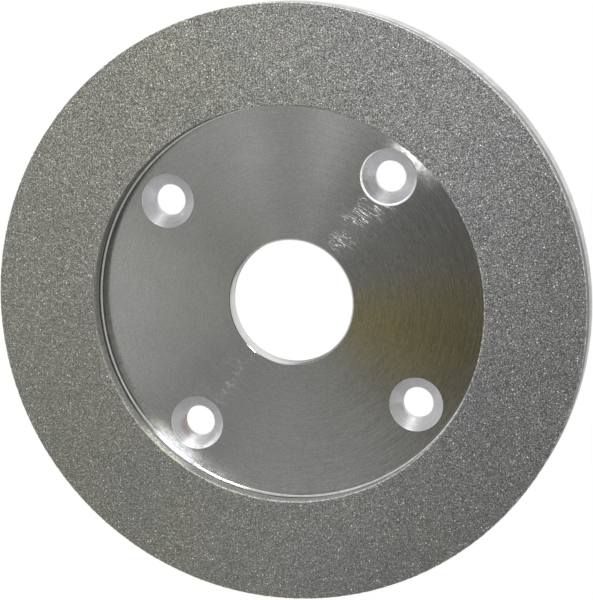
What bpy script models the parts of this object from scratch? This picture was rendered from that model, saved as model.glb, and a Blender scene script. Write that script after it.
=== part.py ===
"""Plate-mounted diamond grinding wheel, straight-cup face type.

The wheel is an aluminium plate, turned on both sides, that carries a wide
diamond section on its face.  It is drawn in the wheel's own turning frame
(local Z = spin axis, +Z towards the grinding face) and the whole wheel is then
stood upright, so in the world the spin axis is Y, the grinding face looks
along -Y and the back mounting face looks along +Y.  The origin is the middle
of the wheel, on the spin axis, half way through its thickness.

Pieces, from the back to the grinding face:
  aluminium_core   turned body: bore, recess, four countersunk screw holes
  cement_film      cement that holds the abrasive section on the body
  backing_ring     resin ring without diamond, under the diamond layer
  diamond_rim      resin ring filled with diamond, the layer that grinds
"""
import math

import bmesh
import bpy

# ---- driving dimensions, metres --------------------------------------------
OUTER_DIAMETER = 0.1524         # 6 in
THICKNESS = 0.0111              # 7/16 in over everything
RECESS_DIAMETER = 0.1012        # leaves a rim close to 1 in wide
RECESS_DEPTH = 0.00635          # 1/4 in from the grinding face to the recess floor
RECESS_FILLET = 0.0005          # floor to wall
BORE_DIAMETER = 0.03175         # 1-1/4 in
BORE_CHAMFER = 0.0003
BACK_CHAMFER = 0.0005           # outer corner of the back face
EDGE_BREAK = 0.00015            # corners of the resin rings

# depth below the grinding face of each joint between two pieces
DIAMOND_JOINT = 0.0031          # diamond layer, about 1/8 in
BACKING_JOINT = 0.0042
CEMENT_JOINT = 0.00475          # whole abrasive section, about 3/16 in
GAP = 0.0003                    # left open between two neighbouring pieces

SCREW_HOLES = 4
SCREW_CIRCLE_DIAMETER = 0.0822  # about 3-1/4 in
SCREW_HOLE_DIAMETER = 0.0080    # 5/16 in
COUNTERSINK_DIAMETER = 0.01376
COUNTERSINK_ANGLE = 100.0       # degrees, included
COUNTERSINK_BREAK = 0.00012     # broken edge round each countersink
FIRST_HOLE_ANGLE = 52.4         # degrees round the wheel, from +X towards the top

WHEEL_STEPS = 96
HOLE_STEPS = 32

FACE_Z = THICKNESS / 2
BACK_Z = -THICKNESS / 2
FLOOR_Z = FACE_Z - RECESS_DEPTH


# ---- helpers -----------------------------------------------------------------
def clear_scene():
    for obj in list(bpy.data.objects):
        bpy.data.objects.remove(obj, do_unlink=True)
    for coll in list(bpy.data.collections):
        bpy.data.collections.remove(coll)


def new_collection(name):
    coll = bpy.data.collections.new(name)
    bpy.context.scene.collection.children.link(coll)
    return coll


def make_material(name, color, roughness, metallic):
    mat = bpy.data.materials.new(name)
    mat.use_nodes = True
    bsdf = mat.node_tree.nodes["Principled BSDF"]
    bsdf.inputs["Base Color"].default_value = (*color, 1.0)
    bsdf.inputs["Roughness"].default_value = roughness
    bsdf.inputs["Metallic"].default_value = metallic
    return mat


def fillet(cx, cz, radius, start, end, count):
    """Points of an arc round (cx, cz), angles in degrees."""
    pts = []
    for i in range(count + 1):
        a = math.radians(start + (end - start) * i / count)
        pts.append((cx + radius * math.cos(a), cz + radius * math.sin(a)))
    return pts


def turned(name, outline, steps, coll, parent, closed=True):
    """Revolve an outline of (radius, height) points about local Z.

    The outline runs down the outer side and back up the inner side.  An open
    outline starts and ends on the axis.
    """
    bm = bmesh.new()
    verts = [bm.verts.new((r, 0.0, z)) for r, z in outline]
    for a, b in zip(verts, verts[1:]):
        bm.edges.new((a, b))
    if closed:
        bm.edges.new((verts[-1], verts[0]))
    mesh = bpy.data.meshes.new(name)
    bm.to_mesh(mesh)
    bm.free()
    obj = bpy.data.objects.new(name, mesh)
    coll.objects.link(obj)
    obj.parent = parent
    screw = obj.modifiers.new("turn", "SCREW")
    screw.axis = "Z"
    screw.angle = 2 * math.pi
    screw.steps = steps
    screw.render_steps = steps
    screw.use_merge_vertices = True
    screw.merge_threshold = 0.00001
    screw.use_smooth_shade = True
    return obj


def drill(obj, cutter):
    cut = obj.modifiers.new("drill " + cutter.name, "BOOLEAN")
    cut.operation = "DIFFERENCE"
    cut.solver = "EXACT"
    cut.object = cutter


def settle(obj, material):
    """Apply the modifiers, give the piece its material and its shading."""
    depsgraph = bpy.context.evaluated_depsgraph_get()
    depsgraph.update()
    mesh = bpy.data.meshes.new_from_object(obj.evaluated_get(depsgraph))
    obj.modifiers.clear()
    obj.data = mesh
    mesh.name = obj.name
    mesh.materials.clear()
    mesh.materials.append(material)
    mesh.shade_smooth()
    mesh.set_sharp_from_angle(angle=math.radians(30))


def ring_outline(top, bottom):
    """Section of a flat ring as wide as the rim, with its corners broken."""
    r_out = OUTER_DIAMETER / 2
    r_in = RECESS_DIAMETER / 2
    e = EDGE_BREAK
    return [
        (r_out - e, top), (r_out, top - e),
        (r_out, bottom), (r_in, bottom),
        (r_in, top - e), (r_in + e, top),
    ]


# ---- the wheel ----------------------------------------------------------------
clear_scene()
wheel = new_collection("diamond_grinding_wheel")
cutters = new_collection("cutters")

frame = bpy.data.objects.new("spin_axis", None)
frame.empty_display_size = 0.02
frame.rotation_euler = (math.radians(90), 0.0, 0.0)
wheel.objects.link(frame)

aluminium = make_material("aluminium", (0.62, 0.62, 0.60), 0.28, 1.0)
cement = make_material("cement", (0.05, 0.042, 0.032), 0.6, 0.0)
backing = make_material("backing_resin", (0.06, 0.06, 0.062), 0.55, 0.0)
diamond = make_material("diamond_resin", (0.22, 0.22, 0.205), 0.8, 0.0)

# Body.  Outer side down, across the back, up the bore, out over the recess
# floor, up the short wall under the abrasive section.
r_out = OUTER_DIAMETER / 2
r_bore = BORE_DIAMETER / 2
r_wall = RECESS_DIAMETER / 2
seat_z = FACE_Z - CEMENT_JOINT - GAP / 2
core_outline = [
    (r_out - EDGE_BREAK, seat_z), (r_out, seat_z - EDGE_BREAK),
    (r_out, BACK_Z + BACK_CHAMFER), (r_out - BACK_CHAMFER, BACK_Z),
    (r_bore + BORE_CHAMFER, BACK_Z), (r_bore, BACK_Z + BORE_CHAMFER),
    (r_bore, FLOOR_Z - BORE_CHAMFER), (r_bore + BORE_CHAMFER, FLOOR_Z),
]
core_outline += fillet(r_wall - RECESS_FILLET, FLOOR_Z + RECESS_FILLET,
                       RECESS_FILLET, -90, 0, 4)
core_outline.append((r_wall, seat_z))
core = turned("aluminium_core", core_outline, WHEEL_STEPS, wheel, frame)

# Screw holes, each a drill with a countersink and a broken edge, sunk from the
# recess floor and run out past the back face.
cone_drop = (COUNTERSINK_DIAMETER - SCREW_HOLE_DIAMETER) / 2 / math.tan(
    math.radians(COUNTERSINK_ANGLE / 2))
r_hole = SCREW_HOLE_DIAMETER / 2
r_sink = COUNTERSINK_DIAMETER / 2
for i in range(SCREW_HOLES):
    angle = math.radians(FIRST_HOLE_ANGLE + 360.0 * i / SCREW_HOLES)
    tool = [
        (0.0, FLOOR_Z + 0.002),
        (r_sink + COUNTERSINK_BREAK, FLOOR_Z + 0.002),
        (r_sink + COUNTERSINK_BREAK, FLOOR_Z),
        (r_sink, FLOOR_Z - COUNTERSINK_BREAK),
        (r_hole, FLOOR_Z - COUNTERSINK_BREAK - cone_drop),
        (r_hole, BACK_Z - 0.002),
        (0.0, BACK_Z - 0.002),
    ]
    cutter = turned("screw_hole_cutter_%d" % (i + 1), tool, HOLE_STEPS,
                    cutters, frame, closed=False)
    cutter.location = (SCREW_CIRCLE_DIAMETER / 2 * math.cos(angle),
                       SCREW_CIRCLE_DIAMETER / 2 * math.sin(angle), 0.0)
    cutter.hide_render = True
    cutter.display_type = "WIRE"
    drill(core, cutter)
settle(core, aluminium)

# Abrasive section: three flat rings of the same width, stacked on the seat.
film = turned("cement_film", [
    (r_out - EDGE_BREAK, FACE_Z - BACKING_JOINT - GAP / 2),
    (r_out - EDGE_BREAK, FACE_Z - CEMENT_JOINT + GAP / 2),
    (r_wall + EDGE_BREAK, FACE_Z - CEMENT_JOINT + GAP / 2),
    (r_wall + EDGE_BREAK, FACE_Z - BACKING_JOINT - GAP / 2),
], WHEEL_STEPS, wheel, frame)
settle(film, cement)

base = turned("backing_ring",
              ring_outline(FACE_Z - DIAMOND_JOINT - GAP / 2,
                           FACE_Z - BACKING_JOINT + GAP / 2),
              WHEEL_STEPS, wheel, frame)
settle(base, backing)

rim = turned("diamond_rim",
             ring_outline(FACE_Z, FACE_Z - DIAMOND_JOINT + GAP / 2),
             WHEEL_STEPS, wheel, frame)
settle(rim, diamond)

bpy.context.view_layer.update()
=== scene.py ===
import math

import bmesh
import bpy
import numpy as np
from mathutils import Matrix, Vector


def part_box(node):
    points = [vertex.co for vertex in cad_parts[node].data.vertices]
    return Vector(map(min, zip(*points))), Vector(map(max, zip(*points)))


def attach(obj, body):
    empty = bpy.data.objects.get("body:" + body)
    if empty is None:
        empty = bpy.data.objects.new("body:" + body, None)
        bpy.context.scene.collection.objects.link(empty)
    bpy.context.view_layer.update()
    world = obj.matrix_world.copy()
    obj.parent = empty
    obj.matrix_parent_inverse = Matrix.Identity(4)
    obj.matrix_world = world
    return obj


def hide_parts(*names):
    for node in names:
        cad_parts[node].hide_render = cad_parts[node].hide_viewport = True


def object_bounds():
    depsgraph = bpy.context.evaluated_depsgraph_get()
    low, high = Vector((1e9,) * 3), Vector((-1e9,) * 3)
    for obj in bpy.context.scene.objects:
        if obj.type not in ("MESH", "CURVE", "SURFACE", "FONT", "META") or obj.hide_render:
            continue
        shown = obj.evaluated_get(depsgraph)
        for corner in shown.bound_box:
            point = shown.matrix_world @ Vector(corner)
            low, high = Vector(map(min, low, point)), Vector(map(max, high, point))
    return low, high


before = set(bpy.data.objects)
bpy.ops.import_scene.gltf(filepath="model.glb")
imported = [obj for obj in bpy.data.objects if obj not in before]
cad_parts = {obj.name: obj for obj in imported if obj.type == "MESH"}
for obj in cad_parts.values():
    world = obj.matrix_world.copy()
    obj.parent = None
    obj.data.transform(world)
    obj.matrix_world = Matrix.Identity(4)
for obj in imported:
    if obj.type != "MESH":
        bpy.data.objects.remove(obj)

cad_lo, cad_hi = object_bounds()

# ---------------------------------------------------------------- sizes
# All in metres, in the CAD frame: spin axis Y, grinding face towards -Y.
rim_lo, rim_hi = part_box("diamond_rim")
core_lo, core_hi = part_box("aluminium_core")
FACE_Y = rim_lo.y                      # grinding face
BACK_Y = core_hi.y                     # mounting face
R_OUT = rim_hi.x                       # outer radius
R_WALL = 0.0506                        # recess wall
R_BORE = 0.015875
RECESS = 0.00635
FLOOR_Y = FACE_Y + RECESS
JOINT_1 = 0.0031                       # diamond to backing
JOINT_2 = 0.0042                       # backing to cement
JOINT_3 = 0.00475                      # cement to body
R_CIRCLE = 0.0411                      # screw circle
R_HOLE = 0.0040
R_SINK = 0.00688
SINK_HALF = math.radians(50)
PHASE = math.radians(52.4)
HOLES = 4

rng = np.random.default_rng(20240607)


# ---------------------------------------------------------------- mesh helpers
def new_object(name, mesh):
    obj = bpy.data.objects.new(name, mesh)
    bpy.context.scene.collection.objects.link(obj)
    return obj


def ring_mesh(name, rows, flat):
    """Closed ring from rows of (radius array, y array), each row once round the
    wheel.  Rows run from the outer back corner over the face to the inner back
    corner; the last row joins the first."""
    n_rows = len(rows)
    n = len(rows[0][0])
    ang = 2 * np.pi * np.arange(n) / n
    co = np.empty((n_rows * n, 3))
    for k, row in enumerate(rows):
        r, y = row[0], row[1]
        a = ang + (row[2] if len(row) > 2 else 0.0)
        co[k * n:(k + 1) * n, 0] = r * np.cos(a)
        co[k * n:(k + 1) * n, 1] = y
        co[k * n:(k + 1) * n, 2] = r * np.sin(a)
    i = np.arange(n)
    j = (i + 1) % n
    quads = []
    for k in range(n_rows):
        m = (k + 1) % n_rows
        quads.append(np.stack([k * n + i, m * n + i, m * n + j, k * n + j], 1))
    quads = np.concatenate(quads)
    mesh = bpy.data.meshes.new(name)
    mesh.vertices.add(len(co))
    mesh.vertices.foreach_set("co", co.astype(np.float32).ravel())
    mesh.loops.add(quads.size)
    mesh.loops.foreach_set("vertex_index", quads.astype(np.int32).ravel())
    mesh.polygons.add(len(quads))
    mesh.polygons.foreach_set("loop_start", np.arange(0, quads.size, 4, dtype=np.int32))
    mesh.update(calc_edges=True)
    mesh.validate()
    # make the faces point outwards whatever the winding was
    bm = bmesh.new()
    bm.from_mesh(mesh)
    if bm.calc_volume(signed=True) < 0:
        bmesh.ops.reverse_faces(bm, faces=bm.faces)
    bm.to_mesh(mesh)
    bm.free()
    if flat:
        mesh.shade_flat()
    else:
        mesh.shade_smooth()
        mesh.set_sharp_from_angle(angle=math.radians(35))
    return mesh


def arc(cx, cy, radius, start, end, count):
    out = []
    for k in range(count + 1):
        a = math.radians(start + (end - start) * k / count)
        out.append((cx + radius * math.cos(a), cy + radius * math.sin(a)))
    return out


def smooth_noise(n, waves, seed):
    """Periodic 1-D noise of n samples, unit peak, built from a band of waves."""
    g = np.random.default_rng(seed)
    t = 2 * np.pi * np.arange(n) / n
    out = np.zeros(n)
    for w in waves:
        out += g.normal() * np.cos(w * t + g.uniform(0, 6.283)) / math.sqrt(len(waves))
    return out / max(np.abs(out).max(), 1e-9)


# ---------------------------------------------------------------- aluminium body
def body_outline():
    """Section of the body as (radius, y), y growing towards the back.  Each
    turned corner has a small round."""
    c = 0.00018
    seat_y = FACE_Y + JOINT_3
    pts = []
    # outer corner under the cement, a fine sharp edge
    pts += arc(R_OUT - 0.00008, seat_y + 0.00008, 0.00008, -90, 0, 2)
    # outer side to the back chamfer
    pts += [(R_OUT, BACK_Y - 0.00055)]
    pts += arc(R_OUT - 0.0006, BACK_Y - 0.0006, 0.0006, 5, 85, 6)
    # back face, flat, with a few extra points across it; its facing rings are in the material
    pts += [(R_OUT - 0.0007, BACK_Y)]
    for r in np.linspace(R_OUT - 0.012, R_BORE + 0.012, 6):
        pts.append((float(r), BACK_Y))
    # bore, chamfer at both ends
    pts += [(R_BORE + 0.0006, BACK_Y), (R_BORE + 0.00035, BACK_Y - 0.00006),
            (R_BORE + 0.00006, BACK_Y - 0.00035), (R_BORE, BACK_Y - 0.0006)]
    pts += [(R_BORE, FLOOR_Y + 0.00055), (R_BORE + 0.00004, FLOOR_Y + 0.00033),
            (R_BORE + 0.00031, FLOOR_Y + 0.00004), (R_BORE + 0.00050, FLOOR_Y)]
    # recess floor
    for r in np.linspace(R_BORE + 0.006, R_WALL - 0.006, 7):
        pts.append((float(r), FLOOR_Y))
    # fillet up to the short wall
    f = 0.00038
    pts += arc(R_WALL - f, FLOOR_Y - f, f, 90, 0, 8)
    pts += [(R_WALL, seat_y)]
    return pts


def turned(name, outline, steps, closed=True):
    bm = bmesh.new()
    vs = [bm.verts.new((r, y, 0.0)) for r, y in outline]
    es = [bm.edges.new(p) for p in zip(vs, vs[1:])]
    if closed:
        es.append(bm.edges.new((vs[-1], vs[0])))
    bmesh.ops.spin(bm, geom=vs + es, cent=(0, 0, 0), axis=(0, 1, 0),
                   angle=2 * math.pi, steps=steps, use_merge=True,
                   use_duplicate=False)
    bmesh.ops.remove_doubles(bm, verts=bm.verts, dist=1e-7)
    bmesh.ops.recalc_face_normals(bm, faces=bm.faces)
    if bm.calc_volume(signed=True) < 0:
        bmesh.ops.reverse_faces(bm, faces=bm.faces)
    mesh = bpy.data.meshes.new(name)
    bm.to_mesh(mesh)
    bm.free()
    return new_object(name, mesh)


def evaluated(obj):
    dg = bpy.context.evaluated_depsgraph_get()
    mesh = bpy.data.meshes.new_from_object(obj.evaluated_get(dg))
    obj.modifiers.clear()
    old = obj.data
    obj.data = mesh
    bpy.data.meshes.remove(old)
    return mesh


body = turned("turned_body", body_outline(), 384)
for k in range(HOLES):
    a = PHASE + k * math.pi / 2
    e = 0.00010
    drop = (R_SINK - R_HOLE) / math.tan(SINK_HALF)
    tool = [(0.0, FLOOR_Y - 0.002), (R_SINK + 0.5 * e, FLOOR_Y - 0.002),
            (R_SINK + 0.5 * e, FLOOR_Y - 0.00002),
            (R_SINK + 0.3 * e, FLOOR_Y + e * 0.10),
            (R_SINK - 0.2 * e, FLOOR_Y + e * 0.45),
            (R_SINK - 0.5 * e, FLOOR_Y + e),
            (R_HOLE + 0.00006, FLOOR_Y + e + drop - 0.00004),
            (R_HOLE, FLOOR_Y + e + drop + 0.00006),
            (R_HOLE, BACK_Y - 0.00030), (R_HOLE + 0.00030, BACK_Y),
            (R_HOLE + 0.00030, BACK_Y + 0.002), (0.0, BACK_Y + 0.002)]
    cutter = turned("cutter", tool, 96, closed=False)
    cutter.location = (R_CIRCLE * math.cos(a), 0.0, R_CIRCLE * math.sin(a))
    bpy.context.view_layer.update()
    cut = body.modifiers.new("cut", "BOOLEAN")
    cut.solver = "EXACT"
    cut.object = cutter
    evaluated(body)
    bpy.data.objects.remove(cutter, do_unlink=True)
# one countersink was cut with a worn tool and keeps a fine turned-up burr
a = PHASE
lip_half, lip_high = 0.00023, 0.00008
burr = turned("burr", [(R_SINK + 0.00019 + lip_half * cx, FLOOR_Y + lip_high * cy)
                       for cx, cy in arc(0.0, 0.0, 1.0, 0, 330, 11)], 160)
burr.location = (R_CIRCLE * math.cos(a), 0.0, R_CIRCLE * math.sin(a))
bpy.context.view_layer.update()
join = body.modifiers.new("join", "BOOLEAN")
join.operation = "UNION"
join.solver = "EXACT"
join.object = burr
evaluated(body)
bpy.data.objects.remove(burr, do_unlink=True)
body.data.shade_smooth()
body.data.set_sharp_from_angle(angle=math.radians(28))
for poly in body.data.polygons:          # the turned flats stay truly flat
    if abs(poly.normal.y) > 0.9999:
        poly.use_smooth = False

# ---------------------------------------------------------------- cement bead
N = 720
wob = 0.00005 * smooth_noise(N, range(20, 160, 3), 3)
wob2 = 0.00005 * smooth_noise(N, range(20, 160, 3), 4)
y1, y2 = FACE_Y + JOINT_2 - 0.00002, FACE_Y + JOINT_3 + 0.00002
ro = R_OUT - 0.00014 + wob
ri = R_WALL + 0.00016 + wob2
ymid = (y1 + y2) / 2
rows = [(ro - 0.00010, np.full(N, y2)), (ro - 0.00002, np.full(N, y2 - 0.00010)),
        (ro, np.full(N, ymid)), (ro - 0.00002, np.full(N, y1 + 0.00010)),
        (ro - 0.00010, np.full(N, y1)),
        (ri + 0.00010, np.full(N, y1)), (ri + 0.00002, np.full(N, y1 + 0.00010)),
        (ri, np.full(N, ymid)), (ri + 0.00002, np.full(N, y2 - 0.00010)),
        (ri + 0.00010, np.full(N, y2))]
cement = new_object("cement_bead", ring_mesh("cement_bead", rows, False))

# ---------------------------------------------------------------- resin backing
N = 960
g = np.random.default_rng(11)


def rough(n, amp):
    """Small pitting, always inwards."""
    return amp * g.random(n) ** 2


rows = []
ya, yb = FACE_Y + JOINT_1, FACE_Y + JOINT_2
for t in (1.0, 0.75, 0.5, 0.25, 0.0):
    y = ya + 0.00001 + (yb - ya - 0.00002) * t
    inset = 0.00005 if t in (0.0, 1.0) else 0.0
    rows.append((R_OUT - inset - rough(N, 0.00005), np.full(N, y)))
for t in (0.0, 0.25, 0.5, 0.75, 1.0):
    y = ya + 0.00001 + (yb - ya - 0.00002) * t
    inset = 0.00005 if t in (0.0, 1.0) else 0.0
    rows.append((R_WALL + inset + rough(N, 0.00005), np.full(N, y)))
backing = new_object("resin_backing", ring_mesh("resin_backing", rows, False))

# ---------------------------------------------------------------- diamond rim
N = 1264
ROWS_FACE = 58
g = np.random.default_rng(29)


def grit(n, amp):
    """Depth of each point below the dressed plane: most points sit in the worn
    bond between grains, a few grains stand at the plane, some leave pits."""
    base = g.random(n)
    d = amp * (0.25 + 0.55 * base)
    d[g.random(n) < 0.16] *= 0.08
    pit = g.random(n) < 0.035
    d[pit] = amp * (1.2 + 0.9 * g.random(pit.sum()))
    return d


da = 2 * np.pi / N
rows = []
for t in np.linspace(1.0, 0.16, 7):                        # outer side, back to face
    y = FACE_Y + 0.0001 + (JOINT_1 - 0.0001) * t
    jit = 0.00008 if t < 1.0 else 0.0
    rows.append((R_OUT - grit(N, 0.00007), np.full(N, y) + jit * g.uniform(-1, 1, N),
                 da * 0.25 * g.uniform(-1, 1, N)))
# outer corner: a small worn bevel with crumbled ends
rows.append((R_OUT - 0.00002 - 0.00008 * g.random(N) ** 2,
             FACE_Y + 0.00020 + 0.00008 * g.uniform(-1, 1, N),
             da * 0.2 * g.uniform(-1, 1, N)))
rows.append((R_OUT - 0.00018 - 0.00008 * g.uniform(-1, 1, N),
             FACE_Y + 0.00001 + 0.00006 * g.random(N) ** 2,
             da * 0.2 * g.uniform(-1, 1, N)))
radii = np.linspace(R_OUT - 0.00060, R_WALL + 0.00060, ROWS_FACE)
step = abs(radii[1] - radii[0])
for k, r in enumerate(radii):
    rows.append((r + 0.28 * step * g.uniform(-1, 1, N), FACE_Y + grit(N, 0.00007),
                 da * 0.28 * g.uniform(-1, 1, N)))
rows.append((R_WALL + 0.00020 + 0.00008 * g.uniform(-1, 1, N),
             FACE_Y + 0.00001 + 0.00006 * g.random(N) ** 2,
             da * 0.2 * g.uniform(-1, 1, N)))
rows.append((R_WALL + 0.00002 + 0.00008 * g.random(N) ** 2,
             FACE_Y + 0.00020 + 0.00008 * g.uniform(-1, 1, N),
             da * 0.2 * g.uniform(-1, 1, N)))
for t in np.linspace(0.16, 1.0, 7):
    y = FACE_Y + 0.0001 + (JOINT_1 - 0.0001) * t
    jit = 0.00008 if t < 1.0 else 0.0
    rows.append((R_WALL + grit(N, 0.00007), np.full(N, y) + jit * g.uniform(-1, 1, N),
                 da * 0.25 * g.uniform(-1, 1, N)))
rim = new_object("diamond_layer", ring_mesh("diamond_layer", rows, True))


# ---------------------------------------------------------------- node helpers
class Nodes:
    def __init__(self, tree):
        self.t = tree
        self.x = 0

    def add(self, kind, **props):
        n = self.t.nodes.new(kind)
        self.x += 40
        n.location = (self.x, 0)
        for k, v in props.items():
            setattr(n, k, v)
        return n

    def put(self, socket, value):
        if isinstance(value, bpy.types.NodeSocket):
            self.t.links.new(value, socket)
        else:
            socket.default_value = value

    def math(self, op, a, b=0.0, c=0.0, clamp=False):
        n = self.add("ShaderNodeMath", operation=op, use_clamp=clamp)
        self.put(n.inputs[0], a)
        self.put(n.inputs[1], b)
        self.put(n.inputs[2], c)
        return n.outputs[0]

    def vec(self, op, a, b=None, s=None):
        n = self.add("ShaderNodeVectorMath", operation=op)
        self.put(n.inputs[0], a)
        if b is not None:
            self.put(n.inputs[1], b)
        if s is not None:
            self.put(n.inputs["Scale"], s)
        return n.outputs["Value"] if op in ("DOT_PRODUCT", "LENGTH") else n.outputs["Vector"]

    def split(self, v):
        n = self.add("ShaderNodeSeparateXYZ")
        self.put(n.inputs[0], v)
        return n.outputs[0], n.outputs[1], n.outputs[2]

    def join(self, x, y, z):
        n = self.add("ShaderNodeCombineXYZ")
        self.put(n.inputs[0], x)
        self.put(n.inputs[1], y)
        self.put(n.inputs[2], z)
        return n.outputs[0]

    def noise(self, v, scale, detail=2.0, rough=0.5, dims="3D", w=None, distortion=0.0):
        n = self.add("ShaderNodeTexNoise", noise_dimensions=dims)
        if dims != "1D":
            self.put(n.inputs["Vector"], v)
        if w is not None:
            self.put(n.inputs["W"], w)
        self.put(n.inputs["Scale"], scale)
        self.put(n.inputs["Detail"], detail)
        self.put(n.inputs["Roughness"], rough)
        self.put(n.inputs["Distortion"], distortion)
        return n.outputs["Fac"]

    def voronoi(self, v, scale, feature="F1", randomness=1.0):
        n = self.add("ShaderNodeTexVoronoi", feature=feature)
        self.put(n.inputs["Vector"], v)
        self.put(n.inputs["Scale"], scale)
        self.put(n.inputs["Randomness"], randomness)
        return n

    def ramp(self, fac, stops, interpolation="LINEAR"):
        n = self.add("ShaderNodeValToRGB")
        n.color_ramp.interpolation = interpolation
        els = n.color_ramp.elements
        while len(els) < len(stops):
            els.new(0.5)
        for el, (pos, col) in zip(els, stops):
            el.position = pos
            el.color = (*col, 1.0) if not isinstance(col, (int, float)) else (col, col, col, 1.0)
        self.put(n.inputs[0], fac)
        return n.outputs[0]

    def maprange(self, v, a, b, c=0.0, d=1.0, kind="SMOOTHSTEP"):
        n = self.add("ShaderNodeMapRange", interpolation_type=kind)
        self.put(n.inputs["Value"], v)
        self.put(n.inputs["From Min"], a)
        self.put(n.inputs["From Max"], b)
        self.put(n.inputs["To Min"], c)
        self.put(n.inputs["To Max"], d)
        return n.outputs["Result"]

    def mix(self, fac, a, b, blend="MIX"):
        n = self.add("ShaderNodeMix", data_type="RGBA", blend_type=blend)
        self.put(n.inputs["Factor"], fac)
        for name, val in (("A", a), ("B", b)):
            sock = [s for s in n.inputs if s.name == name and s.type == "RGBA"][0]
            if isinstance(val, bpy.types.NodeSocket):
                self.t.links.new(val, sock)
            elif isinstance(val, (int, float)):
                sock.default_value = (val, val, val, 1.0)
            else:
                sock.default_value = (*val, 1.0)
        return [s for s in n.outputs if s.type == "RGBA"][0]


def material(name):
    m = bpy.data.materials.new(name)
    m.use_nodes = True
    tree = m.node_tree
    tree.nodes.clear()
    nd = Nodes(tree)
    out = nd.add("ShaderNodeOutputMaterial")
    bsdf = nd.add("ShaderNodeBsdfPrincipled")
    tree.links.new(bsdf.outputs[0], out.inputs["Surface"])
    return m, nd, bsdf


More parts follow.
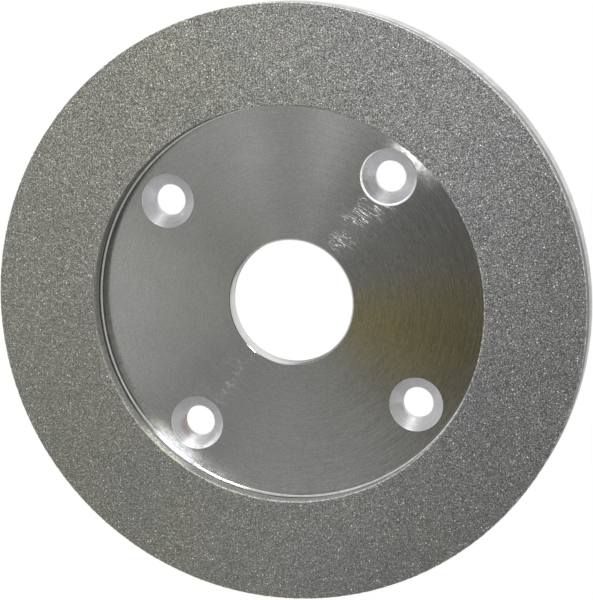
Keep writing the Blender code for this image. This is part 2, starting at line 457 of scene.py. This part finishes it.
# ---------------------------------------------------------------- turned aluminium
def aluminium_material():
    m, nd, bsdf = material("turned_aluminium")
    geo = nd.add("ShaderNodeNewGeometry")
    tc = nd.add("ShaderNodeTexCoord")
    P = tc.outputs["Object"]
    x, y, z = nd.split(P)
    r = nd.math("SQRT", nd.math("ADD", nd.math("MULTIPLY", x, x), nd.math("MULTIPLY", z, z)))
    theta = nd.math("ARCTAN2", z, x)
    # nearest screw hole: its angle, its centre, distance from that centre
    turn = nd.math("ROUND", nd.math("DIVIDE", nd.math("SUBTRACT", theta, PHASE), math.pi / 2))
    ha = nd.math("ADD", nd.math("MULTIPLY", turn, math.pi / 2), PHASE)
    hx = nd.math("MULTIPLY", nd.math("COSINE", ha), R_CIRCLE)
    hz = nd.math("MULTIPLY", nd.math("SINE", ha), R_CIRCLE)
    dx = nd.math("SUBTRACT", x, hx)
    dz = nd.math("SUBTRACT", z, hz)
    rho = nd.math("SQRT", nd.math("ADD", nd.math("MULTIPLY", dx, dx), nd.math("MULTIPLY", dz, dz)))
    # 1 inside a countersink or its hole
    in_hole = nd.math("LESS_THAN", rho, R_SINK + 0.00022)
    deeper = nd.math("GREATER_THAN", y, FLOOR_Y + 0.000004)
    in_hole = nd.math("MULTIPLY", in_hole, deeper)
    cone_end = nd.math("LESS_THAN", y, FLOOR_Y + 0.0030)
    in_bore = nd.math("MULTIPLY", nd.math("LESS_THAN", rho, R_HOLE + 0.0003),
                      nd.math("LESS_THAN", y, BACK_Y - 0.00001))
    in_hole = nd.math("MULTIPLY", in_hole, nd.math("MAXIMUM", cone_end, in_bore))
    # radius and angle that the tool marks follow
    rr = nd.math("ADD", nd.math("MULTIPLY", in_hole, rho),
                 nd.math("MULTIPLY", nd.math("SUBTRACT", 1.0, in_hole), r))
    ex = nd.math("ADD", nd.math("MULTIPLY", in_hole, dx),
                 nd.math("MULTIPLY", nd.math("SUBTRACT", 1.0, in_hole), x))
    ez = nd.math("ADD", nd.math("MULTIPLY", in_hole, dz),
                 nd.math("MULTIPLY", nd.math("SUBTRACT", 1.0, in_hole), z))
    # the surface scatters across its grooves: that direction is normal x groove
    groove = nd.join(ez, 0.0, nd.math("MULTIPLY", ex, -1.0))
    tangent = nd.vec("NORMALIZE", nd.vec("CROSS_PRODUCT", geo.outputs["Normal"], groove))

    # fine concentric marks: 1-D noise of the radius, slowly changing round the wheel
    lead = nd.noise(P, 35.0, 2.0)
    groove_w = nd.math("MULTIPLY", rr, 1.0)
    fine = nd.noise(None, 9000.0, 3.0, 0.65, "1D", w=groove_w)
    mid = nd.noise(None, 1500.0, 2.0, 0.6, "1D", w=groove_w)
    arc_v = nd.join(nd.math("MULTIPLY", rr, 6000.0), nd.math("MULTIPLY", theta, 9.0), nd.math("MULTIPLY", y, 900.0))
    streak = nd.noise(arc_v, 1.0, 3.0, 0.6)
    arc_v2 = nd.join(nd.math("MULTIPLY", rr, 3600.0), nd.math("MULTIPLY", theta, 30.0), 3.0)
    streak2 = nd.noise(arc_v2, 1.0, 2.0, 0.5)

    # colour: bright metal, faint staining, darker tool-mark troughs
    cloud = nd.noise(P, 60.0, 3.0, 0.5)
    base = nd.mix(nd.maprange(cloud, 0.3, 0.7), (0.76, 0.76, 0.745), (0.82, 0.82, 0.81))
    base = nd.mix(nd.math("MULTIPLY", nd.maprange(streak, 0.35, 0.75), 0.25), base, (0.55, 0.545, 0.535))
    # coarser turning rings, most open to the right and below
    brush_v = nd.join(nd.math("MULTIPLY", rr, 3000.0), nd.math("MULTIPLY", theta, 2.6), 5.0)
    brush_s = nd.join(nd.math("MULTIPLY", rr, 2600.0), nd.math("MULTIPLY", theta, 16.0), 9.0)
    brush = nd.math("ADD", nd.math("MULTIPLY", nd.noise(brush_v, 1.0, 3.0, 0.7), 0.55),
                    nd.math("MULTIPLY", nd.noise(brush_s, 1.0, 2.0, 0.7), 0.45))
    brush = nd.math("SUBTRACT", brush, 0.5)
    opened = nd.maprange(nd.math("SUBTRACT", nd.math("MULTIPLY", x, 1.0), nd.math("MULTIPLY", z, 0.10)), -0.004, 0.030, 0.40, 1.60)
    opened = nd.math("MULTIPLY", opened, nd.math("SUBTRACT", 1.0, in_hole))
    brush = nd.math("ADD", 1.0, nd.math("MULTIPLY", brush, opened))
    base = nd.mix(1.0, base, nd.join(brush, brush, brush), "MULTIPLY")
    ring = nd.noise(None, 4200.0, 2.0, 0.6, "1D", w=rr)
    ring = nd.math("MULTIPLY", nd.maprange(ring, 0.40, 0.62), in_hole)
    # countersinks: painted shade on the left and a painted highlight below right (not on the fourth)
    phi = nd.math("ARCTAN2", dz, dx)
    fourth = nd.math("LESS_THAN", nd.math("ABSOLUTE", nd.math("ADD", turn, 1.0)), 0.5)
    cone_painted_shade = nd.maprange(nd.math("COSINE", nd.math("SUBTRACT", phi, math.radians(163))), math.cos(math.radians(62)), math.cos(math.radians(14)), 0.0, 0.17)
    cone_painted_highlight = nd.maprange(nd.math("COSINE", nd.math("SUBTRACT", phi, math.radians(304))), math.cos(math.radians(64)), math.cos(math.radians(18)), 0.0, 0.18)
    cone_painted_highlight = nd.math("MULTIPLY", cone_painted_highlight, nd.math("SUBTRACT", 1.0, fourth))
    cone = nd.math("SUBTRACT", nd.math("ADD", 0.79, cone_painted_highlight), cone_painted_shade)
    base = nd.mix(in_hole, base, nd.join(cone, cone, nd.math("MULTIPLY", cone, 1.02)))
    # the third countersink gets painted highlights below and a painted dark reflection beside its hole
    third = nd.math("MULTIPLY", in_hole, nd.math("GREATER_THAN", nd.math("ABSOLUTE", turn), 1.5))
    shine_a = nd.maprange(nd.math("COSINE", nd.math("SUBTRACT", phi, math.radians(256))), math.cos(math.radians(26)), math.cos(math.radians(8)))
    shine_b = nd.maprange(nd.math("COSINE", nd.math("SUBTRACT", phi, math.radians(318))), math.cos(math.radians(50)), math.cos(math.radians(16)))
    shine = nd.math("MULTIPLY", nd.math("MAXIMUM", shine_a, shine_b), nd.maprange(rho, 0.0054, 0.0064, 0.0, 1.0))
    shine = nd.math("MULTIPLY", nd.math("MULTIPLY", shine, third), nd.maprange(nd.noise(P, 700.0, 2.0, 0.6), 0.32, 0.62, 0.25, 0.95))
    # painted reflection: a brownish dark patch beside the third hole
    painted_dark_reflection = nd.maprange(nd.math("COSINE", nd.math("SUBTRACT", phi, math.radians(203))), math.cos(math.radians(66)), math.cos(math.radians(14)))
    painted_dark_reflection = nd.math("MULTIPLY", nd.math("MULTIPLY", painted_dark_reflection, third), nd.maprange(rho, 0.0058, 0.0044, 0.0, 0.70))
    base = nd.mix(painted_dark_reflection, base, (0.36, 0.28, 0.25))
    base = nd.mix(nd.math("MULTIPLY", ring, 0.38), base, (0.45, 0.45, 0.455))
    # bright rim round the countersinks: the real burr, full and wide on the first one, and the edge break, coloured
    # near white with less metal as a painted highlight
    first = nd.math("LESS_THAN", nd.math("ABSOLUTE", turn), 0.5)
    burr_and_glint = nd.maprange(nd.math("ABSOLUTE", nd.math("SUBTRACT", rho, R_SINK)), 0.00020, 0.00012)
    part = nd.maprange(nd.noise(P, 260.0, 2.0, 0.5), 0.40, 0.60, 0.05, 0.50)
    burr_and_glint = nd.math("MULTIPLY", burr_and_glint, nd.math("MAXIMUM", nd.math("MULTIPLY", first, nd.maprange(nd.noise(P, 900.0, 2.0, 0.5), 0.35, 0.5, 0.75, 1.0)), part))
    burr_and_glint = nd.math("MULTIPLY", burr_and_glint, in_hole)
    bead = nd.math("MULTIPLY", nd.math("LESS_THAN", y, FLOOR_Y - 0.000004),
                   nd.math("LESS_THAN", nd.math("ABSOLUTE", nd.math("SUBTRACT", rho, R_SINK)), 0.0006))
    # the third countersink's painted highlights take the same near-white colour as the rims
    burr_and_glint = nd.math("MAXIMUM", nd.math("MAXIMUM", burr_and_glint, bead), shine)
    # painted highlight: near-white colour on the burr and countersink rims
    base = nd.mix(burr_and_glint, base, (0.97, 0.97, 0.98))
    # painted highlight: a pale, less metallic patch along the foot of the wall, lower left, standing in for a flare
    # there
    painted_flare = nd.maprange(nd.math("COSINE", nd.math("SUBTRACT", theta, math.radians(231.5))),
                        math.cos(math.radians(9.0)), math.cos(math.radians(2)))
    painted_flare = nd.math("MULTIPLY", painted_flare, nd.maprange(r, R_WALL - 0.0037, R_WALL - 0.0012))
    painted_flare = nd.math("MULTIPLY", nd.math("MULTIPLY", painted_flare, nd.math("SUBTRACT", 1.0, in_hole)),
                    nd.maprange(streak2, 0.36, 0.60, 0.55, 0.95))
    painted_flare = nd.math("MULTIPLY", painted_flare, nd.math("MULTIPLY", nd.math("LESS_THAN", r, R_WALL + 0.0001), nd.math("LESS_THAN", y, FLOOR_Y + 0.0003)))
    base = nd.mix(painted_flare, base, (0.94, 0.96, 1.0))
    on_back = nd.math("GREATER_THAN", y, BACK_Y - 0.00001)
    feed0 = nd.noise(None, 1400.0, 2.0, 0.6, "1D", w=r)
    base = nd.mix(nd.math("MULTIPLY", on_back, nd.maprange(feed0, 0.38, 0.62, 0.0, 0.45)), base, (0.50, 0.50, 0.49))
    grain = nd.noise(P, 4200.0, 2.0, 0.75)
    base = nd.mix(1.0, base, nd.ramp(grain, [(0.30, 0.80), (0.50, 0.97), (0.70, 1.12)]), "MULTIPLY")
    nd.put(bsdf.inputs["Base Color"], base)
    nd.put(bsdf.inputs["Metallic"], nd.math("SUBTRACT", 1.0, nd.math("MAXIMUM", nd.math("MULTIPLY", painted_flare, 0.75),
                                                                           nd.math("MULTIPLY", burr_and_glint, nd.math("SUBTRACT", 0.9, nd.math("MULTIPLY", bead, 0.25))))))

    # roughness: polished floor, scuffed at the wall, rougher on the sides
    inside = nd.math("LESS_THAN", r, R_WALL + 0.0001)
    front = nd.math("LESS_THAN", y, FLOOR_Y + 0.0003)
    on_floor = nd.math("MULTIPLY", inside, front)
    near_wall = nd.maprange(r, R_WALL - 0.0062, R_WALL - 0.0012)
    near_wall = nd.math("MULTIPLY", near_wall, nd.maprange(streak2, 0.36, 0.60, 0.55, 1.0))
    # rubbed hardest where the cloth was pulled across, along one diagonal
    diag_a = nd.maprange(nd.math("COSINE", nd.math("SUBTRACT", theta, math.radians(49.5))),
                         math.cos(math.radians(13)), math.cos(math.radians(3)), 0.0, 0.62)
    diag_b = nd.maprange(nd.math("COSINE", nd.math("SUBTRACT", theta, math.radians(236))),
                         math.cos(math.radians(26)), math.cos(math.radians(6)))
    diag = nd.math("MAXIMUM", diag_a, diag_b)
    near_wall = nd.math("MULTIPLY", near_wall, nd.maprange(diag, 0.0, 1.0, 0.10, 1.0, "LINEAR"))
    # scratches left by polishing: thin arcs that follow the turning marks, in
    # bands that come and go with the radius
    slant = nd.math("MULTIPLY", theta, 10.0)
    sc_v = nd.join(nd.math("ADD", nd.math("MULTIPLY", rr, 1900.0), nd.math("MULTIPLY", slant, 0.8)), nd.math("MULTIPLY", slant, 0.50), 7.0)
    scratch = nd.math("ABSOLUTE", nd.math("SUBTRACT", nd.noise(sc_v, 1.0, 1.0, 0.5), 0.5))
    scratch = nd.maprange(scratch, 0.034, 0.010)
    band = nd.maprange(nd.noise(None, 330.0, 1.0, 0.5, "1D", w=rr), 0.38, 0.46)
    patch = nd.maprange(nd.noise(P, 230.0, 2.0, 0.5), 0.43, 0.51)
    scratch = nd.math("MULTIPLY", nd.math("MULTIPLY", scratch, patch), band)
    rub = nd.math("COSINE", nd.math("MULTIPLY", nd.math("SUBTRACT", theta, math.radians(51)), 2.0))
    lower = nd.maprange(z, -0.006, 0.004, 0.60, 1.0)
    scratch = nd.math("MULTIPLY", scratch, nd.math("MULTIPLY", lower, nd.maprange(rub, 0.86, 0.985, 0.04, 0.60)))
    worn = nd.math("MAXIMUM", near_wall, scratch)
    worn = nd.math("MULTIPLY", worn, on_floor)
    rough = nd.math("ADD", 0.095, nd.math("MULTIPLY", worn, 0.125))
    rough = nd.math("ADD", rough, nd.math("MULTIPLY", nd.maprange(streak2, 0.45, 0.75), 0.022))
    rough = nd.math("ADD", rough, nd.math("MULTIPLY", in_hole, 0.27))
    rough = nd.math("ADD", rough, nd.math("MULTIPLY", bead, 0.33))
    side = nd.math("GREATER_THAN", r, R_OUT - 0.0007)
    rough = nd.math("ADD", rough, nd.math("MULTIPLY", side, 0.18))
    # the back is left as faced: coarser rings
    back = nd.math("GREATER_THAN", y, BACK_Y - 0.00001)
    feed = nd.noise(None, 1900.0, 2.0, 0.6, "1D", w=r)
    rough = nd.math("ADD", rough, nd.math("MULTIPLY", back, nd.maprange(feed, 0.35, 0.65, 0.06, 0.20)))
    nd.put(bsdf.inputs["Roughness"], rough)
    aniso = nd.math("ADD", 0.85, nd.math("MINIMUM", nd.math("MULTIPLY", worn, 0.25), 0.11))
    aniso = nd.math("SUBTRACT", aniso, nd.math("MULTIPLY", in_hole, 0.30))
    aniso = nd.math("MULTIPLY", aniso, nd.math("SUBTRACT", 1.0, bead))
    nd.put(bsdf.inputs["Anisotropic"], aniso)
    nd.put(bsdf.inputs["Anisotropic Rotation"], 0.0)
    nd.put(bsdf.inputs["Tangent"], tangent)

    # bump: the grooves themselves
    h = nd.math("ADD", nd.math("MULTIPLY", fine, 0.35), nd.math("MULTIPLY", mid, 0.5))
    h = nd.math("ADD", h, nd.math("MULTIPLY", streak, 0.5))
    bump = nd.add("ShaderNodeBump")
    nd.put(bump.inputs["Strength"], 1.0)
    nd.put(bump.inputs["Distance"], 0.0000012)
    nd.put(bump.inputs["Height"], h)
    nd.put(bsdf.inputs["Normal"], bump.outputs["Normal"])
    return m


# ---------------------------------------------------------------- diamond in resin
def diamond_material():
    m, nd, bsdf = material("diamond_resin")
    tc = nd.add("ShaderNodeTexCoord")
    P = tc.outputs["Object"]
    grains = nd.voronoi(P, 3200.0)
    coarse = nd.voronoi(P, 4400.0)
    fine = nd.voronoi(P, 7600.0)
    far = grains.outputs["Distance"]
    gr, gg, gb = nd.split(grains.outputs["Color"])
    cr, cg, cb = nd.split(coarse.outputs["Color"])
    fr, fg, fb = nd.split(fine.outputs["Color"])
    soft = nd.noise(P, 420.0, 3.0, 0.6)
    cloud = nd.noise(P, 55.0, 3.0, 0.5)
    # grains: dark torn-out pits, grey bond, pale grains, a few clear bright ones
    bed = nd.ramp(cr, [(0.0, 0.070), (0.12, 0.145), (0.35, 0.193), (0.70, 0.235), (1.0, 0.32)])
    bed = nd.mix(1.0, bed, nd.ramp(fr, [(0.0, 0.50), (0.3, 0.82), (0.7, 1.12), (1.0, 1.70)]), "MULTIPLY")
    # each grain stands pale in the darker bond round it
    bed = nd.mix(1.0, bed, nd.ramp(far, [(0.10, 2.50), (0.30, 1.75), (0.45, 1.10), (0.60, 0.66), (0.80, 0.38)]), "MULTIPLY")
    # painted light: the grains stand out less towards the lower left, where fewer of them catch a glint
    x, y, z = nd.split(P)
    side = nd.math("ADD", nd.math("MULTIPLY", x, 0.6), nd.math("MULTIPLY", z, 0.8))
    # grain contrast lowered towards the lower left as painted light
    clear = nd.maprange(side, -0.060, 0.035, 0.53, 0.84)
    bed = nd.mix(clear, (0.215, 0.215, 0.215), bed)
    # painted shade: darker towards the lower right
    low = nd.math("SUBTRACT", nd.math("MULTIPLY", x, 0.9), nd.math("MULTIPLY", z, 0.35))
    bed = nd.mix(nd.maprange(low, 0.020, 0.066, 0.0, 0.42), bed, nd.mix(1.0, bed, (0.45, 0.45, 0.40), "MULTIPLY"))
    clean = nd.voronoi(P, 1500.0)
    kr, kg, kb = nd.split(clean.outputs["Color"])
    spark = nd.ramp(kr, [(0.58, 0.0), (0.64, 0.36), (0.88, 0.58), (0.93, 1.0)])
    spark = nd.math("MULTIPLY", spark, nd.maprange(clean.outputs["Distance"], 0.27, 0.19))
    tone = nd.mix(spark, bed, (0.92, 0.92, 0.92))
    tone = nd.mix(1.0, tone, nd.ramp(soft, [(0.3, 0.955), (0.7, 1.045)]), "MULTIPLY")
    tone = nd.mix(1.0, tone, nd.ramp(cloud, [(0.3, 0.96), (0.7, 1.04)]), "MULTIPLY")
    rad = nd.math("SQRT", nd.math("ADD", nd.math("MULTIPLY", x, x), nd.math("MULTIPLY", z, z)))
    depth = nd.math("SUBTRACT", y, FACE_Y)
    # the sides are as cut, paler than the dressed face, palest at the corner
    outer = nd.math("MULTIPLY", nd.math("GREATER_THAN", rad, R_OUT - 0.00012), nd.maprange(depth, 0.00005, 0.00020))
    tone = nd.mix(nd.math("MULTIPLY", outer, nd.maprange(depth, 0.0022, 0.0003, 0.34, 0.55)), tone, (0.56, 0.56, 0.56))
    turn = nd.math("ARCTAN2", z, x)
    # painted shade on the outer side around 65 degrees
    side_painted_shade = nd.maprange(nd.math("COSINE", nd.math("SUBTRACT", turn, math.radians(65))), math.cos(math.radians(11)), math.cos(math.radians(4)), 0.0, 0.42)
    tone = nd.mix(nd.math("MULTIPLY", side_painted_shade, outer), tone, (0.14, 0.14, 0.14))
    inside = nd.math("LESS_THAN", rad, R_WALL + 0.00012)
    # painted shade: the inner wall darkens deeper into the recess
    inner = nd.math("MULTIPLY", inside, nd.maprange(depth, 0.0004, 0.0030, 0.0, 0.40))
    tone = nd.mix(inner, tone, (0.07, 0.07, 0.07))
    # painted highlight on the inner wall around 230 degrees, below the wall flare
    wall_painted_glint = nd.maprange(nd.math("COSINE", nd.math("SUBTRACT", turn, math.radians(230))), math.cos(math.radians(11)), math.cos(math.radians(3)), 0.0, 0.85)
    wall_painted_glint = nd.math("MULTIPLY", nd.math("MULTIPLY", wall_painted_glint, inside), nd.ramp(nd.noise(P, 1500.0, 2.0, 0.6), [(0.47, 0.20), (0.60, 1.0)]))
    tone = nd.mix(wall_painted_glint, tone, (0.86, 0.86, 0.84))
    # both corners are worn: polished bond and cut diamonds, glossier and partly metallic; their pale colour is partly a
    # painted highlight that follows where the corners face the light
    edge = nd.math("MINIMUM", nd.math("SUBTRACT", R_OUT + 0.00010, rad), nd.math("SUBTRACT", rad, R_WALL))
    edge = nd.math("MAXIMUM", edge, nd.math("SUBTRACT", depth, 0.00008))
    edge = nd.maprange(edge, 0.00038, 0.00024)
    dash = nd.ramp(nd.noise(P, 1300.0, 2.0, 0.65), [(0.42, 0.10), (0.60, 1.0)])
    worn = nd.math("MULTIPLY", edge, dash)
    # painted highlight: the inner corner is paler below and to the right
    worn = nd.math("MULTIPLY", worn, nd.maprange(nd.math("SUBTRACT", nd.math("MULTIPLY", x, 0.5), z), -0.030, 0.03, 0.12, 0.75))
    worn = nd.math("MAXIMUM", worn, nd.math("MULTIPLY", nd.math("MULTIPLY", edge, dash), nd.math("GREATER_THAN", rad, R_OUT - 0.002)))
    tone = nd.mix(worn, tone, (0.88, 0.88, 0.88))
    # painted warm light: the face is tinted warmer towards the left, with random patches
    warm = nd.math("ADD", nd.maprange(x, 0.055, -0.055, -0.25, 0.55, "LINEAR"), cloud)
    tint = nd.mix(nd.maprange(warm, 0.2, 1.0, kind="LINEAR"), (0.99, 1.005, 1.0), (1.01, 1.005, 0.87))
    col = nd.mix(1.0, tone, tint, "MULTIPLY")
    nd.put(bsdf.inputs["Base Color"], col)
    nd.put(bsdf.inputs["Metallic"], nd.math("MULTIPLY", worn, 0.55))
    shine = nd.ramp(fg, [(0.0, 0.20), (0.14, 0.34), (0.4, 0.58), (1.0, 0.8)])
    nd.put(bsdf.inputs["Roughness"], nd.mix(worn, shine, 0.38))
    nd.put(bsdf.inputs["Specular IOR Level"], 0.6)
    # every grain is a small facet of its own
    geo = nd.add("ShaderNodeNewGeometry")
    facet = nd.vec("SUBTRACT", fine.outputs["Color"], (0.5, 0.5, 0.5))
    facet = nd.vec("ADD", geo.outputs["Normal"], nd.vec("SCALE", facet, s=0.9))
    bump = nd.add("ShaderNodeBump")
    nd.put(bump.inputs["Strength"], 0.8)
    nd.put(bump.inputs["Distance"], 0.00004)
    nd.put(bump.inputs["Height"], cb)
    nd.put(bump.inputs["Normal"], nd.vec("NORMALIZE", facet))
    nd.put(bsdf.inputs["Normal"], bump.outputs["Normal"])
    return m


def backing_material():
    m, nd, bsdf = material("backing_resin")
    tc = nd.add("ShaderNodeTexCoord")
    P = tc.outputs["Object"]
    n1 = nd.noise(P, 1800.0, 3.0, 0.6)
    n2 = nd.noise(P, 120.0, 2.0, 0.5)
    col = nd.mix(nd.maprange(n1, 0.35, 0.7), (0.12, 0.12, 0.12), (0.24, 0.24, 0.236))
    col = nd.mix(nd.math("MULTIPLY", nd.maprange(n2, 0.4, 0.7), 0.5), col, (0.27, 0.266, 0.255))
    nd.put(bsdf.inputs["Base Color"], col)
    nd.put(bsdf.inputs["Roughness"], nd.maprange(n1, 0.3, 0.7, 0.28, 0.5))
    bump = nd.add("ShaderNodeBump")
    nd.put(bump.inputs["Strength"], 0.6)
    nd.put(bump.inputs["Distance"], 0.00003)
    nd.put(bump.inputs["Height"], n1)
    nd.put(bsdf.inputs["Normal"], bump.outputs["Normal"])
    return m


def cement_material():
    m, nd, bsdf = material("cement")
    tc = nd.add("ShaderNodeTexCoord")
    P = tc.outputs["Object"]
    n1 = nd.noise(P, 900.0, 3.0, 0.6)
    col = nd.mix(nd.maprange(n1, 0.35, 0.7), (0.018, 0.016, 0.014), (0.06, 0.054, 0.048))
    nd.put(bsdf.inputs["Base Color"], col)
    nd.put(bsdf.inputs["Roughness"], nd.maprange(n1, 0.3, 0.7, 0.35, 0.6))
    bump = nd.add("ShaderNodeBump")
    nd.put(bump.inputs["Strength"], 0.5)
    nd.put(bump.inputs["Distance"], 0.00004)
    nd.put(bump.inputs["Height"], n1)
    nd.put(bsdf.inputs["Normal"], bump.outputs["Normal"])
    return m


for obj, mat, node, slot in (
        (body, aluminium_material(), "aluminium_core", "turned_aluminium"),
        (cement, cement_material(), "cement_film", "cement"),
        (backing, backing_material(), "backing_ring", "backing_resin"),
        (rim, diamond_material(), "diamond_rim", "diamond_resin")):
    obj.data.materials.clear()
    obj.data.materials.append(mat)
    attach(obj, "root")
    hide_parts(node)

# ---------------------------------------------------------------- floor
bm = bmesh.new()
bmesh.ops.create_grid(bm, x_segments=8, y_segments=8, size=6.0)
fm = bpy.data.meshes.new("floor")
bm.to_mesh(fm)
bm.free()
floor = new_object("floor", fm)
floor.location = (0, 0, cad_lo.z)
floor.visible_glossy = False
floor.visible_diffuse = False
floor.visible_shadow = False
m = bpy.data.materials.new("floor_white")
m.use_nodes = True
nt = m.node_tree
nt.nodes.clear()
nd = Nodes(nt)
out = nd.add("ShaderNodeOutputMaterial")
em = nd.add("ShaderNodeEmission")
nd.put(em.inputs["Color"], (1.0, 1.0, 1.0, 1.0))
nd.put(em.inputs["Strength"], 1.0)
nt.links.new(em.outputs[0], out.inputs["Surface"])
fm.materials.append(m)

# ---------------------------------------------------------------- world: light tent
world = bpy.data.worlds.new("light_tent")
bpy.context.scene.world = world
world.use_nodes = True
nt = world.node_tree
nt.nodes.clear()
nd = Nodes(nt)
out = nd.add("ShaderNodeOutputWorld")
bg = nd.add("ShaderNodeBackground")
nt.links.new(bg.outputs[0], out.inputs["Surface"])
D = nd.add("ShaderNodeTexCoord").outputs["Generated"]
lp = nd.add("ShaderNodeLightPath")
dx, dy, dz = nd.split(D)
# the tent: bright all round, dimmer towards the camera's opening and below
front = nd.maprange(nd.math("MULTIPLY", dy, -1.0), 0.55, 0.93)
sky = nd.maprange(dz, -0.95, 0.95, 0.62, 1.0)
sky = nd.math("SUBTRACT", sky, nd.math("MULTIPLY", nd.maprange(dx, 0.0, 1.0), 0.14))
# What the flat floor mirrors.  (u, v) are metres on the floor seen from the
# camera, ra and pa the radius and angle there.  The studio in front of the
# wheel is a ring of cards of different greys, each given here by its angle.


def card(tone, blue=1.0, green=1.0):
    t = tone / 255.0
    lin = ((t + 0.055) / 1.055) ** 2.4 / 0.76
    return (lin, lin * green, lin * blue)


def cards(angle, stops):
    return nd.ramp(angle, [((deg + 180.0) / 360.0, card(*c)) for deg, *c in stops])


u = nd.math("MULTIPLY", nd.math("ADD", dx, 0.2305), 0.611)
v = nd.math("MULTIPLY", nd.math("ADD", dz, 0.1564), 0.611)
ra = nd.math("SQRT", nd.math("ADD", nd.math("MULTIPLY", u, u), nd.math("MULTIPLY", v, v)))
pa = nd.math("ARCTAN2", v, u)
turn = nd.math("ADD", nd.math("DIVIDE", pa, 2 * math.pi), 0.5)
near_axis = cards(turn, [
    (-180, 120, 0.97), (-150, 112, 0.97), (-120, 107, 0.97), (-90, 111, 0.97),
    (-60, 108, 0.95), (-50, 104, 0.93), (-42, 110, 0.36, 0.90), (-33, 115, 0.0, 0.80), (-14, 110, 0.0, 0.80),
    (4, 100, 0.24, 0.87), (11, 91, 0.93, 0.97), (30, 94, 0.97), (50, 98, 0.98), (62, 104, 0.98),
    (75, 118, 0.97), (90, 114, 0.97), (105, 128, 0.97), (135, 120, 0.97), (180, 120, 0.97)])
far_out = cards(turn, [
    (-180, 157, 0.98), (-155, 153, 0.98), (-140, 120, 1.0), (-120, 121, 1.01), (-95, 138, 1.0),
    (-75, 131, 1.0), (-55, 114, 0.97), (-40, 86, 1.06, 1.0), (-27, 66, 1.06, 1.0), (-15, 54, 0.78, 0.95), (3, 69, 0.70, 0.92),
    (10, 63, 0.88, 0.94), (30, 74, 0.95), (48, 78, 0.98), (62, 100, 0.98), (71, 128, 0.98), (80, 178, 0.98),
    (90, 124, 0.98), (96, 128, 0.98), (106, 162, 0.98), (115, 144, 0.98), (140, 128, 0.97),
    (160, 152, 0.97), (180, 157, 0.98)])
lit = nd.mix(nd.maprange(ra, 0.016, 0.050, kind="LINEAR"), near_axis, far_out)
behind = nd.maprange(dy, 0.30, 0.85)
card_b = nd.maprange(nd.math("ADD", nd.math("MULTIPLY", dx, 0.9), nd.math("MULTIPLY", dz, 0.5)), -0.35, 0.15, 0.45, 1.0)
sky = nd.math("MULTIPLY", sky, nd.math("ADD", nd.math("SUBTRACT", 1.0, behind), nd.math("MULTIPLY", behind, card_b)))
tent = nd.mix(front, sky, lit)
from_right = nd.maprange(dx, 0.15, 0.95, 0.43, 0.80)
soft_light = nd.mix(1.0, tent, nd.mix(1.0, from_right, (1.0, 1.0, 0.985), "MULTIPLY"), "MULTIPLY")
tent = nd.mix(lp.outputs["Is Diffuse Ray"], tent, soft_light)
col = nd.mix(lp.outputs["Is Camera Ray"], tent, (1.0, 1.0, 1.0))
nt.links.new(col, bg.inputs["Color"])
bg.inputs["Strength"].default_value = 1.0


# ---------------------------------------------------------------- lamps
def area(name, loc, target, size, power, glossy=True, diffuse=True, size_y=None):
    d = bpy.data.lights.new(name, "AREA")
    d.shape = "RECTANGLE" if size_y else "DISK"
    d.size = size
    if size_y:
        d.size_y = size_y
    d.energy = power
    o = bpy.data.objects.new(name, d)
    bpy.context.scene.collection.objects.link(o)
    o.location = loc
    o.rotation_euler = (Vector(target) - Vector(loc)).to_track_quat("-Z", "Y").to_euler()
    o.visible_glossy = glossy
    o.visible_diffuse = diffuse
    o.visible_camera = False
    return o


area("softbox_top", (0.035, -0.28, 0.42), (0, 0, 0.02), 0.22, 3.3, glossy=False)
area("softbox_high", (0.16, -0.50, 0.80), (0, 0, 0), 0.34, 2.2, diffuse=False)
area("key_front", (0.063, -1.60, 0.290), (0, 0, 0), 0.060, 4.2, diffuse=False)

# ---------------------------------------------------------------- camera
AZ, EL = math.radians(13.487), math.radians(8.996)
cam_data = bpy.data.cameras.new("camera")
cam = bpy.data.objects.new("camera", cam_data)
bpy.context.scene.collection.objects.link(cam)
cam.location = (0.143472, FACE_Y - 0.586003, 0.097031)
cam.rotation_euler = (math.pi / 2 - EL, 0.0, AZ)
cam_data.sensor_width = 36.0
cam_data.sensor_fit = "AUTO"
cam_data.lens = 145.30
cam_data.clip_start = 0.01
cam_data.clip_end = 50.0
bpy.context.scene.camera = cam
bpy.context.scene.view_settings.view_transform = "Standard"
bpy.context.scene.view_settings.look = "None"
